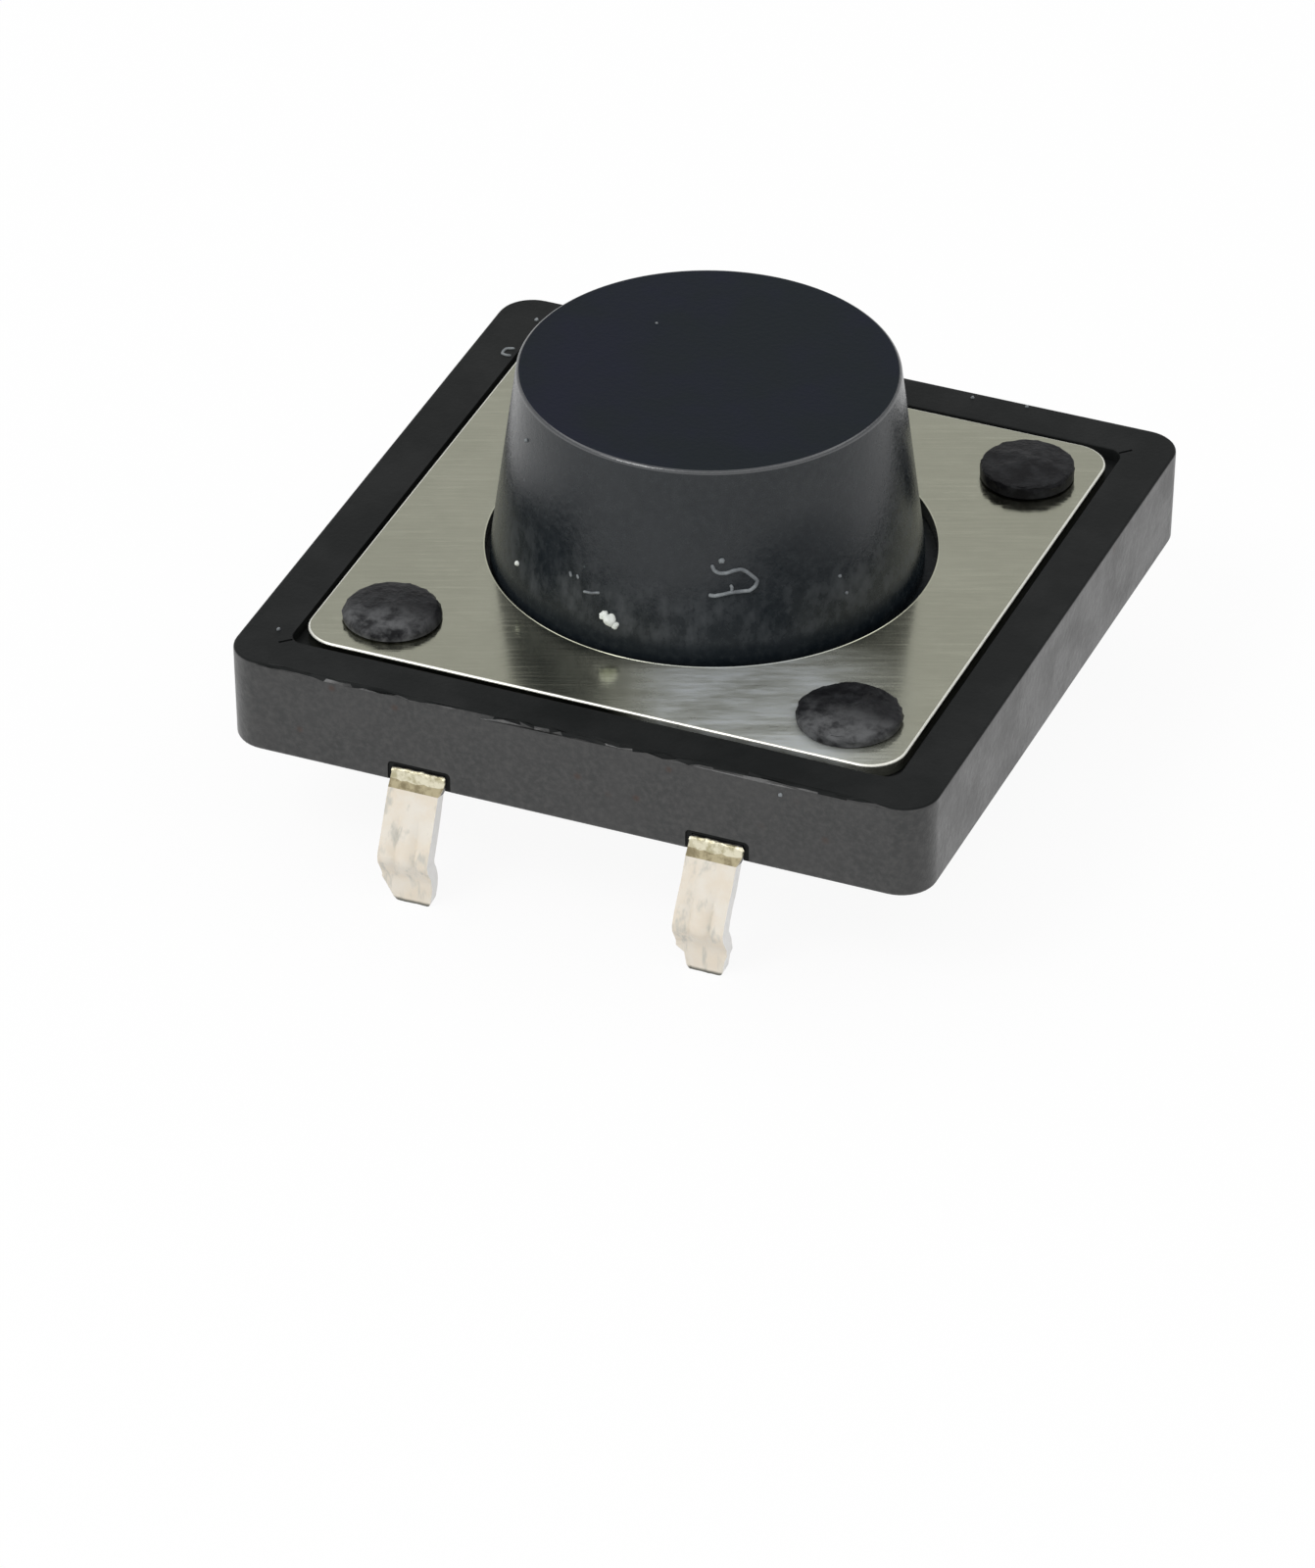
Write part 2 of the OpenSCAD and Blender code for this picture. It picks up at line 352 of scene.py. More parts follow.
def make_streaks_group():
    """Long fine lines along X of the given vector: rolling lines, rubs and scratches."""
    tree, start, end = new_group(
        "Streaks",
        [("Vector", "NodeSocketVector", None), ("Fineness", "NodeSocketFloat", 20.0),
         ("Length", "NodeSocketFloat", 2.0), ("Low", "NodeSocketFloat", 0.45),
         ("High", "NodeSocketFloat", 0.7)],
        [("Mask", "NodeSocketFloat"), ("Height", "NodeSocketFloat")])
    across = add(tree, "ShaderNodeCombineXYZ", -600, -150)
    along = math_node(tree, -800, -250, "DIVIDE", 1.0, start.outputs["Length"])
    stretch = add(tree, "ShaderNodeVectorMath", -400, 0, {"operation": "MULTIPLY"})
    tree.links.new(along, across.inputs["X"])
    tree.links.new(start.outputs["Fineness"], across.inputs["Y"])
    tree.links.new(start.outputs["Fineness"], across.inputs["Z"])
    tree.links.new(start.outputs["Vector"], stretch.inputs[0])
    tree.links.new(across.outputs["Vector"], stretch.inputs[1])
    noise = add(tree, "ShaderNodeTexNoise", -150, 0, Scale=1.0, Detail=3.0, Roughness=0.65)
    tree.links.new(stretch.outputs["Vector"], noise.inputs["Vector"])
    reach = add(tree, "ShaderNodeMapRange", 150, 100, {"interpolation_type": "SMOOTHSTEP"})
    tree.links.new(noise.outputs["Fac"], reach.inputs["Value"])
    tree.links.new(start.outputs["Low"], reach.inputs["From Min"])
    tree.links.new(start.outputs["High"], reach.inputs["From Max"])
    tree.links.new(reach.outputs["Result"], end.inputs["Mask"])
    tree.links.new(noise.outputs["Fac"], end.inputs["Height"])
    return tree


MOTTLE = make_mottle_group()
SPECKS = make_specks_group()
STREAKS = make_streaks_group()


def use_group(tree, group, x, y, vector, **inputs):
    """The mask that one of the groups makes."""
    node = add(tree, "ShaderNodeGroup", x, y, {"node_tree": group}, **inputs)
    tree.links.new(vector, node.inputs["Vector"])
    return node.outputs["Mask"]


def new_material(name, color, roughness, metallic=0.0, specular=0.5):
    """A material with its surface shader and coordinates in millimetres."""
    made = bpy.data.materials.new(name)
    made.use_nodes = True
    tree = made.node_tree
    surface = tree.nodes["Principled BSDF"]
    surface.inputs["Base Color"].default_value = (*color, 1)
    surface.inputs["Roughness"].default_value = roughness
    surface.inputs["Metallic"].default_value = metallic
    surface.inputs["Specular IOR Level"].default_value = specular
    place = add(tree, "ShaderNodeTexCoord", -1500, 0)
    scale = add(tree, "ShaderNodeMapping", -1300, 0, Scale=(1 / MM, 1 / MM, 1 / MM))
    tree.links.new(place.outputs["Object"], scale.inputs["Vector"])
    return made, tree, surface, scale.outputs["Vector"]


def blend_color(tree, x, y, mask, first, second):
    """Goes from the first colour to the second as the mask goes from 0 to 1."""
    node = add(tree, "ShaderNodeMix", x, y, {"data_type": "RGBA"})
    tree.links.new(mask, node.inputs["Factor"])
    for name, value in (("A", first), ("B", second)):
        socket = [s for s in node.inputs if s.name == name and s.type == "RGBA"][0]
        if hasattr(value, "is_output"):
            tree.links.new(value, socket)
        else:
            socket.default_value = (*value, 1)
    return [s for s in node.outputs if s.type == "RGBA"][0]


def vary_between(tree, x, y, value, start, end):
    """A mask that goes softly from 0 to 1 as the value goes from start to end."""
    node = add(tree, "ShaderNodeMapRange", x, y, {"interpolation_type": "SMOOTHSTEP"},
               To_Min=0.0 if start < end else 1.0, To_Max=1.0 if start < end else 0.0)
    node.inputs["From Min"].default_value = min(start, end)
    node.inputs["From Max"].default_value = max(start, end)
    tree.links.new(value, node.inputs["Value"])
    return node.outputs["Result"]


def vary(tree, x, y, mask, low, high):
    """A plain number that goes from low to high with the mask."""
    node = add(tree, "ShaderNodeMapRange", x, y, To_Min=low, To_Max=high)
    tree.links.new(mask, node.inputs["Value"])
    return node.outputs["Result"]


def bump(tree, surface, height, strength, depth=0.02):
    """Bumps on a surface, with their depth in millimetres."""
    node = add(tree, "ShaderNodeBump", -300, -300, Strength=strength, Distance=depth * MM)
    tree.links.new(height, node.inputs["Height"])
    tree.links.new(node.outputs["Normal"], surface.inputs["Normal"])


def grain(tree, surface, vector, scale, strength, depth=0.02, detail=3.0):
    """Fine uneven bumps all over a surface."""
    noise = add(tree, "ShaderNodeTexNoise", -600, -300, Scale=scale, Detail=detail, Roughness=0.6)
    tree.links.new(vector, noise.inputs["Vector"])
    bump(tree, surface, noise.outputs["Fac"], strength, depth)


# Places on the button's side

def side_radius(z):
    """Radius of the button's leaning side at a height."""
    share = (z - PLATE_TOP) / (BUTTON_TOP - PLATE_TOP)
    return BUTTON_LOW_R - (BUTTON_LOW_R - BUTTON_HIGH_R) * share


def on_side(angle, z, proud=0.0):
    """A point on the button's side, at an angle round it and a height."""
    r, turn = side_radius(z) + proud, math.radians(angle)
    return BUTTON_SHIFT[0] + r * math.cos(turn), BUTTON_SHIFT[1] + r * math.sin(turn), z


# Materials

def make_wall_plastic():
    made, tree, surface, mm = new_material("Moulded_wall", (0.03, 0.03, 0.03), 0.35)
    patches = use_group(tree, MOTTLE, -900, 300, mm, Scale=1.3, Low=0.35, High=0.7)
    spots = use_group(tree, SPECKS, -900, 0, mm, Scale=1.9, Share=0.35, Radius=0.3)
    shade = blend_color(tree, -600, 300, patches,
                        (0.020, 0.021, 0.021), (0.030, 0.030, 0.030))
    fine = use_group(tree, MOTTLE, -900, 500, mm, Scale=9.0, Low=0.35, High=0.75)
    grainy = blend_color(tree, -500, 450, fine, shade, (0.044, 0.044, 0.043))
    stained = blend_color(tree, -350, 300, spots, grainy, (0.035, 0.018, 0.012))
    tree.links.new(stained, surface.inputs["Base Color"])
    tree.links.new(vary(tree, -350, 0, patches, 0.3, 0.42),
                   surface.inputs["Roughness"])
    grain(tree, surface, mm, 9.0, 0.4, detail=5.0)
    return made


# A darker, less glossy copy of the wall plastic: painted shade on the frame top, the recess, the
# underside and the notch rims
def make_frame_painted_shade():
    made, tree, surface, mm = new_material("Moulded_frame_painted_shade", (0.012, 0.013, 0.013), 0.5,
                                           specular=0.09)
    patches = use_group(tree, MOTTLE, -900, 300, mm, Scale=1.0, Low=0.35, High=0.7)
    dust = use_group(tree, SPECKS, -900, 0, mm, Scale=1.1, Share=0.12, Radius=0.09)
    shade = blend_color(tree, -600, 300, patches,
                        (0.008, 0.009, 0.009), (0.013, 0.014, 0.014))
    dusty = blend_color(tree, -350, 300, dust, shade, (0.10, 0.12, 0.10))
    tree.links.new(dusty, surface.inputs["Base Color"])
    grain(tree, surface, mm, 12.0, 0.2)
    return made


def make_post_plastic():
    made, tree, surface, mm = new_material("Melted_post", (0.018, 0.018, 0.019), 0.42,
                                           specular=0.08)
    patches = use_group(tree, MOTTLE, -900, 300, mm, Scale=3.6, Low=0.35, High=0.8)
    shade = blend_color(tree, -600, 300, patches,
                        (0.006, 0.006, 0.007), (0.024, 0.025, 0.027))
    # The front heads are lighter on the side that faces the front: a painted highlight, broken
    # into patches
    part = split(tree, -900, -500, mm)
    front = vary_between(tree, -700, -500, part["Y"], -3.7, -4.6)
    highlight_and_rub_mask = use_group(tree, MOTTLE, -900, -700, mm, Scale=3.0, Low=0.3, High=0.65)
    highlight_and_rub_colour = math_node(tree, -500, -500, "MULTIPLY", front, highlight_and_rub_mask)
    highlight_and_wear = blend_color(tree, -350, 300, highlight_and_rub_colour, shade, (0.1, 0.102, 0.105))
    tree.links.new(highlight_and_wear, surface.inputs["Base Color"])
    tree.links.new(vary(tree, -350, 0, patches, 0.35, 0.5),
                   surface.inputs["Roughness"])
    grain(tree, surface, mm, 4.0, 0.5, 0.06)
    return made


def make_button_plastic():
    made, tree, surface, mm = new_material("Button_plastic", (0.012, 0.015, 0.018), 0.25)
    patches = use_group(tree, MOTTLE, -900, 300, mm, Scale=0.8, Low=0.35, High=0.7)
    fine = use_group(tree, MOTTLE, -900, 500, mm, Scale=7.0, Low=0.35, High=0.75)
    dust = use_group(tree, SPECKS, -900, 0, mm, Scale=2.2, Share=0.1, Radius=0.1)
    shade = blend_color(tree, -650, 300, patches,
                        (0.006, 0.009, 0.012), (0.011, 0.014, 0.017))
    grainy = blend_color(tree, -550, 450, fine, shade, (0.015, 0.019, 0.022))
    # Handling has left dull smears low on the side
    part = split(tree, -1100, -500, mm)
    low = vary_between(tree, -900, -500, part["Z"], 3.6, 2.2)
    smears = use_group(tree, STREAKS, -900, -700, mm, Fineness=1.8, Length=0.3,
                       Low=0.38, High=0.8)
    high = vary_between(tree, -900, -600, part["Z"], 1.8, 2.2)
    band = math_node(tree, -750, -550, "MULTIPLY", low, high)
    smeared = math_node(tree, -650, -600, "MULTIPLY", band, smears)
    smudged = blend_color(tree, -450, 150, smeared, grainy, (0.05, 0.055, 0.06))
    dusty = blend_color(tree, -250, 300, dust, smudged, (0.09, 0.11, 0.11))
    tree.links.new(dusty, surface.inputs["Base Color"])
    rough = vary(tree, -450, 0, fine, 0.22, 0.3)
    duller = vary(tree, -450, -150, smeared, 0.0, 0.2)
    tree.links.new(math_node(tree, -250, 0, "ADD", rough, duller), surface.inputs["Roughness"])
    grain(tree, surface, mm, 9.0, 0.3, detail=5.0)
    # Greasy marks take the gloss away at three places, and painted shade does low down, where the
    # side meets the hole
    dull = vary_between(tree, -650, -900, part["Z"], 2.15, 1.85)
    for angle, z, reach, most in ((-127.0, 2.9, 1.5, 1.0), (-38.0, 3.2, 1.3, 0.6),
                                  (-60.0, 2.5, 1.1, 0.45)):
        away = add(tree, "ShaderNodeVectorMath", -900, -1000, {"operation": "DISTANCE"})
        tree.links.new(mm, away.inputs[0])
        away.inputs[1].default_value = on_side(angle, z)
        mark = vary_between(tree, -650, -1000, away.outputs["Value"], reach, 0.3)
        dull = math_node(tree, -350, -1000, "MAXIMUM", dull,
                         math_node(tree, -500, -1000, "MULTIPLY", mark, most))
    tree.links.new(vary(tree, -200, -1000, dull, 0.42, 0.08), surface.inputs["Specular IOR Level"])
    return made


def make_button_face():
    made, tree, surface, mm = new_material("Button_face", (0.009, 0.012, 0.018), 0.5,
                                           specular=0.08)
    patches = use_group(tree, MOTTLE, -900, 300, mm, Scale=0.35, Low=0.4, High=0.65)
    dust = use_group(tree, SPECKS, -900, 0, mm, Scale=0.9, Share=0.1, Radius=0.06)
    shade = blend_color(tree, -600, 300, patches,
                        (0.006, 0.0095, 0.013), (0.0065, 0.0085, 0.018))
    dusty = blend_color(tree, -350, 300, dust, shade, (0.07, 0.09, 0.08))
    tree.links.new(dusty, surface.inputs["Base Color"])
    grain(tree, surface, mm, 10.0, 0.2)
    return made


def make_button_rim_highlight():
    """The rounded rim of the button, with a painted highlight: a lighter colour and a doubled
    specular.
    """
    made, tree, surface, mm = new_material("Button_rim_painted_highlight", (0.034, 0.037, 0.041), 0.22,
                                           specular=1.0)
    grain(tree, surface, mm, 9.0, 0.3)
    return made


def make_fibre_material():
    made, tree, surface, mm = new_material("Fibre", (0.10, 0.11, 0.12), 0.6)
    patches = use_group(tree, MOTTLE, -900, 300, mm, Scale=4.0, Low=0.35, High=0.65)
    shade = blend_color(tree, -600, 300, patches,
                        (0.11, 0.12, 0.13), (0.22, 0.24, 0.25))
    tree.links.new(shade, surface.inputs["Base Color"])
    return made


def make_plate_steel():
    made, tree, surface, mm = new_material("Rolled_steel", (0.56, 0.56, 0.46), 0.18, metallic=1.0)
    turn = add(tree, "ShaderNodeMapping", -1100, -200)
    turn.inputs["Rotation"].default_value = (0, 0, math.radians(-22))
    tree.links.new(mm, turn.inputs["Vector"])
    lines = use_group(tree, STREAKS, -800, -200, turn.outputs["Vector"],
                      Fineness=16.0, Length=1.6, Low=0.4, High=0.75)
    patches = use_group(tree, MOTTLE, -900, 300, mm, Scale=0.6, Low=0.35, High=0.7)
    shade = blend_color(tree, -500, 300, patches,
                        (0.535, 0.54, 0.43), (0.575, 0.58, 0.465))
    # In front of the button the sheet is greyer, rougher and less metallic, in streaky patches
    part = split(tree, -800, -600, turn.outputs["Vector"])
    left = vary_between(tree, -600, -550, part["X"], -1.7, -0.5)
    right = vary_between(tree, -600, -750, part["X"], 3.4, 1.4)
    front = vary_between(tree, -600, -950, part["Y"], -2.7, -3.6)
    sides = math_node(tree, -350, -650, "MULTIPLY", left, right)
    zone = math_node(tree, -200, -750, "MULTIPLY", sides, front)
    highlight_and_rub_mask = use_group(tree, STREAKS, -800, -1150, turn.outputs["Vector"],
                     Fineness=5.0, Length=1.0, Low=0.25, High=0.75)
    strong = vary(tree, -500, -1150, highlight_and_rub_mask, 0.45, 1.0)
    highlight_and_rub_colour = math_node(tree, -50, -850, "MULTIPLY", zone, strong)
    dull = blend_color(tree, -250, 300, highlight_and_rub_colour, shade, (0.52, 0.55, 0.56))
    tree.links.new(dull, surface.inputs["Base Color"])
    tree.links.new(vary(tree, 50, -850, highlight_and_rub_colour, 1.0, 0.45), surface.inputs["Metallic"])
    rough = vary(tree, -350, 0, lines, 0.12, 0.22)
    highlight_and_wear = vary(tree, -350, -100, highlight_and_rub_colour, 0.0, 0.3)
    tree.links.new(math_node(tree, -150, 0, "ADD", rough, highlight_and_wear), surface.inputs["Roughness"])
    bump(tree, surface, lines.node.outputs["Height"], 0.12)
    return made


def make_plate_rim_highlight():
    # A lighter copy of the steel for the bevel round the plate's top edge: a painted highlight
    made, tree, surface, mm = new_material("Steel_rim_painted_highlight", (0.85, 0.85, 0.78), 0.38,
                                           metallic=1.0)
    grain(tree, surface, mm, 14.0, 0.2)
    return made


def make_tin():
    made, tree, surface, mm = new_material("Tin_plate", (0.95, 0.9, 0.81), 0.45, metallic=0.15)
    patches = use_group(tree, MOTTLE, -900, 300, mm, Scale=2.2, Low=0.35, High=0.68)
    dents = use_group(tree, SPECKS, -900, 0, mm, Scale=1.7, Share=0.45, Radius=0.35)
    shade = blend_color(tree, -600, 300, patches,
                        (0.75, 0.675, 0.565), (0.77, 0.725, 0.645))
    # The die has left soft grey rubs that run down the legs
    turn = add(tree, "ShaderNodeMapping", -1100, 600)
    turn.inputs["Rotation"].default_value = (0, math.radians(90), 0)
    tree.links.new(mm, turn.inputs["Vector"])
    highlight_and_rub_mask = use_group(tree, STREAKS, -900, 600, turn.outputs["Vector"],
                     Fineness=4.5, Length=0.9, Low=0.52, High=0.7)
    highlight_and_rub_colour = blend_color(tree, -450, 450, highlight_and_rub_mask, shade, (0.56, 0.54, 0.48))
    marked = blend_color(tree, -350, 300, dents, highlight_and_rub_colour, (0.42, 0.42, 0.38))
    # The tips are painted dark at their lower ends: a painted shadow line
    part = split(tree, -900, -500, mm)
    tip = vary_between(tree, -600, -500, part["Z"], LEG_TIP + 0.08, LEG_TIP + 0.02)
    tip_shadowed = blend_color(tree, -200, 300, tip, marked, (0.12, 0.12, 0.10))
    # The cut sides of the sheet, which face along X, are painted pale: painted light
    facing = add(tree, "ShaderNodeNewGeometry", -1100, 900)
    turned = split(tree, -900, 900, facing.outputs["True Normal"])
    aside = math_node(tree, -700, 900, "ABSOLUTE", turned["X"])
    cut = vary_between(tree, -500, 900, aside, 0.6, 0.95)
    sides_painted_light = blend_color(tree, -100, 450, cut, tip_shadowed, (0.93, 0.92, 0.9))
    tree.links.new(sides_painted_light, surface.inputs["Base Color"])
    grain(tree, surface, mm, 5.0, 0.3, 0.04)
    return made


def make_brass(name, dark, light):
    made, tree, surface, mm = new_material(name, light, 0.4, metallic=0.6)
    patches = use_group(tree, MOTTLE, -900, 300, mm, Scale=7.0, Low=0.35, High=0.6)
    shade = blend_color(tree, -600, 300, patches, dark, light)
    # Painted shade: the root is near black where it goes into its notch
    part = split(tree, -1100, -500, mm)
    out = math_node(tree, -900, -500, "ABSOLUTE", part["Y"])
    root_painted_shade = vary_between(tree, -700, -500, out, 6.0, 5.97)
    root_shaded = blend_color(tree, -300, 300, root_painted_shade, shade, (0.008, 0.008, 0.008))
    tree.links.new(root_shaded, surface.inputs["Base Color"])
    tree.links.new(vary(tree, -300, 0, root_painted_shade, 0.6, 0.0), surface.inputs["Metallic"])
    grain(tree, surface, mm, 6.0, 0.6, 0.06)
    return made


def make_spring_steel():
    made, tree, surface, mm = new_material("Spring_steel", (0.66, 0.66, 0.64), 0.22,
                                           metallic=1.0)
    patches = use_group(tree, MOTTLE, -900, 300, mm, Scale=1.2, Low=0.35, High=0.7)
    tree.links.new(vary(tree, -350, 0, patches, 0.18, 0.3),
                   surface.inputs["Roughness"])
    grain(tree, surface, mm, 10.0, 0.1)
    return made


def make_dust():
    made, tree, surface, mm = new_material("Dust_fleck", (0.75, 0.78, 0.74), 0.8)
    grain(tree, surface, mm, 20.0, 0.4)
    return made


WALL = make_wall_plastic()
FRAME_PAINTED_SHADE = make_frame_painted_shade()
POST = make_post_plastic()
BUTTON = make_button_plastic()
BUTTON_FACE = make_button_face()
BUTTON_EDGE = make_button_rim_highlight()
FIBRE = make_fibre_material()
STEEL = make_plate_steel()
RIM = make_plate_rim_highlight()
TIN = make_tin()
# Two copies of one brass: the lighter one paints light on the tops of the leg roots, the darker
# one paints shade on their fronts
BRASS = make_brass("Brass_painted_shade", (0.25, 0.21, 0.12), (0.47, 0.41, 0.26))
BRASS_PAINTED_LIGHT = make_brass("Brass_painted_light", (0.46, 0.42, 0.27), (0.74, 0.70, 0.54))
SPRING = make_spring_steel()
DUST = make_dust()


# The moulded base

def make_post(x, y, radius, height, roundness, seed):
    """A post whose end is melted over the plate: a low head, uneven on top, over a plain shank."""
    top = PLATE_TOP + height
    edge = [(radius - roundness * (1 - math.cos(turn)), 0, top - roundness * (1 - math.sin(turn)))
            for turn in [math.radians(18 * i) for i in range(5)]]
    crown = [(radius * share, 0, top + 0.09 * (0.75 - share))
             for share in (0.7, 0.5, 0.3, 0.12, 0)]
    profile = ([(0, 0, PLATE_UNDER - 0.1), (0.55, 0, PLATE_UNDER - 0.1),
                (0.55, 0, PLATE_TOP + 0.004), (radius - 0.04, 0, PLATE_TOP + 0.004),
                (radius, 0, PLATE_TOP + 0.03)] + edge + crown)
    post = outline("post", profile)
    spin_round(post, 48)
    open_mesh(post)
    pick(post, "VERT", lambda p: p.z > PLATE_TOP + 0.1)
    bpy.ops.transform.vertex_random(offset=0.035, uniform=0.0, normal=0.0, seed=seed)
    bpy.ops.mesh.vertices_smooth(factor=0.5, repeat=4, xaxis=False, yaxis=False)
    bpy.ops.mesh.select_all(action="SELECT")
    bpy.ops.transform.translate(value=(x, y, 0))
    close_mesh()
    return post


def make_housing():
    housing = block("housing", (-BASE_HALF, -BASE_HALF, 0), (BASE_HALF, BASE_HALF, BASE_TOP))
    open_mesh(housing)
    pick(housing, "VERT", lambda p: p.z < 0.01)
    taper = (BASE_HALF - 0.03) / BASE_HALF
    bpy.ops.transform.resize(value=(taper, taper, 1))
    close_mesh()
    round_edges(housing, upright, 0.6, 10)

    # The front top edge has a ragged parting line
    open_mesh(housing)
    pick(housing, "EDGE", both(lambda p: p.z > 1.6 and p.y < -5.99))
    bpy.ops.mesh.subdivide(number_cuts=44)
    pick(housing, "EDGE", both(lambda p: p.z > 1.6))
    bpy.ops.mesh.bevel(offset=0.05, segments=3, affect="EDGES")
    pick(housing, "EDGE", both(lambda p: p.z < 0.01))
    bpy.ops.mesh.bevel(offset=0.04, segments=2, affect="EDGES")
    pick(housing, "VERT", lambda p: p.z > 1.6 and p.y < -5.94 and abs(p.x) < 5.3)
    bpy.ops.transform.vertex_random(offset=0.05, uniform=0.0, normal=0.0, seed=4)
    close_mesh()

    recess = block("recess", (-RECESS_HALF, -RECESS_HALF, PLATE_UNDER),
                   (RECESS_HALF, RECESS_HALF, 2.5))
    round_edges(recess, upright, 0.25, 6)
    combine(housing, recess)
    round_edges(housing, both(
        lambda p: p.z > BASE_TOP - 0.001 and 5.1 < max(abs(p.x), abs(p.y)) < 5.21), 0.03, 2)

    # A short slit runs out of two of the recess corners
    for side in (-1, 1):
        slit = block("slit", (-0.12, -0.022, BASE_TOP - 0.06), (0.12, 0.022, 2))
        slit.rotation_euler.z = math.radians(45)
        slit.location = [side * (RECESS_HALF + 0.02)] * 2 + [0]
        combine(housing, settle(slit))

    chamber = drum("chamber", CHAMBER_R, FLOOR_TOP, 2.2, 96)
    square_off(chamber, CHAMBER_HALF)
    combine(housing, chamber)

    # Channels for the terminals, windows for their contacts, and notches for their legs
    gap = 0.03
    half = LEG_HALF + gap
    for side in (-1, 1):
        combine(housing, block("channel", (side * LEG_X - half, -SPINE_END, -1),
                               (side * LEG_X + half, SPINE_END, LEAD_TOP)))
        for end in (-1, 1):
            middle = -2.6 if (side, end) == (-1, -1) else side * LEG_X
            # The notch itself, and a shallow rim round it
            for half_w, depth, top in ((0.44, 0.4, 0.01), (0.54, 0.05, 0.075)):
                ys = sorted((end * (BASE_HALF - depth), end * (BASE_HALF + 0.4)))
                notch = block("notch", (middle - half_w, ys[0], -1),
                              (middle + half_w, ys[1], LEAD_TOP + top))
                if depth < 0.1:
                    round_edges(notch, lambda a, b: abs(a.y - b.y) > 0.1 and a.z > 0, 0.08, 4)
                combine(housing, notch)
    reach = ARM_HALF + gap
    for end in (-1, 1):
        for at in ((-LEG_X, end * CONTACT_Y), (ARM_CONTACT_X, end * ARM_Y)):
            combine(housing, drum("window", CONTACT_R + gap, 0.1, 1, 32, at))
        combine(housing, block("channel", (-LEG_X, end * ARM_Y - reach, -1),
                               (ARM_END + gap, end * ARM_Y + reach, LEAD_TOP)))
    combine(housing, block("channel", (-CENTRE_R - gap, -reach, -1), (LEG_X, reach, LEAD_TOP)))
    combine(housing, drum("window", CENTRE_R + gap, -1, 1, 48))

    for x, y, radius, height, roundness, seed in (
            (-3.9, -3.98, 0.8, 0.21, 0.15, 3), (3.93, -3.97, 0.84, 0.2, 0.1, 5),
            (4.0, 3.86, 0.77, 0.24, 0.06, 8), (-3.95, 3.95, 0.82, 0.22, 0.12, 11)):
        combine(housing, make_post(x, y, radius, height, roundness, seed), "UNION")

    give(housing, WALL, FRAME_PAINTED_SHADE, POST)
    for face in housing.data.polygons:
        c, n = face.center, face.normal
        on_wall = max(abs(c.x), abs(c.y)) > BASE_HALF - 0.1 and c.z < BASE_TOP - 0.03
        corner = math.hypot(abs(c.x) - 5.4, abs(c.y) - 5.4) > 0.55 and min(
            abs(c.x), abs(c.y)) > 5.4 and c.z < BASE_TOP - 0.03
        # The rims round the notches take the darker frame plastic: painted shade round the legs
        in_rim = abs(abs(c.x) - LEG_X) < 0.7 and 5.9 < abs(c.y) < 5.96 and 0.05 < c.z < 0.5
        if c.z > PLATE_TOP - 0.001:
            face.material_index = 2
        elif (on_wall or corner) and not in_rim:
            face.material_index = 0
        else:
            face.material_index = 1
    smooth(housing, flat_below=0.05)
    finish_piece(housing, "base", ["base_housing"])


# The steel cover plate

def make_plate():
    plate = block("plate", (-PLATE_HALF, -PLATE_HALF, PLATE_UNDER),
                  (PLATE_HALF, PLATE_HALF, PLATE_TOP))
    round_edges(plate, upright, 0.62, 12)
    give(plate, STEEL, RIM)
    open_mesh(plate)
    # The bevel on the top edge takes the lighter rim steel, a painted highlight
    pick(plate, "EDGE", both(lambda p: p.z > PLATE_TOP - 0.001))
    bpy.ops.mesh.bevel(offset=0.035, segments=2, affect="EDGES", material=1)
    pick(plate, "EDGE", both(lambda p: p.z < PLATE_UNDER + 0.001))
    bpy.ops.mesh.bevel(offset=0.03, segments=2, affect="EDGES")
    close_mesh()
    combine(plate, drum("hole", HOLE_R, 1, 2, 144))
    for x in (-1, 1):
        for y in (-1, 1):
            combine(plate, drum("hole", POST_HOLE_R, 1, 2, 40, (x * POST_AT, y * POST_AT)))
    # Punching has left a fine burr round the hole
    bpy.ops.mesh.primitive_torus_add(major_radius=HOLE_R + 0.005, minor_radius=0.015,
                                     major_segments=144, minor_segments=10,
                                     location=(0, 0, PLATE_TOP - 0.006))
    combine(plate, settle(bpy.context.object), "UNION")
    smooth(plate, 50)
    finish_piece(plate, "base", ["cover_plate"])


# The button

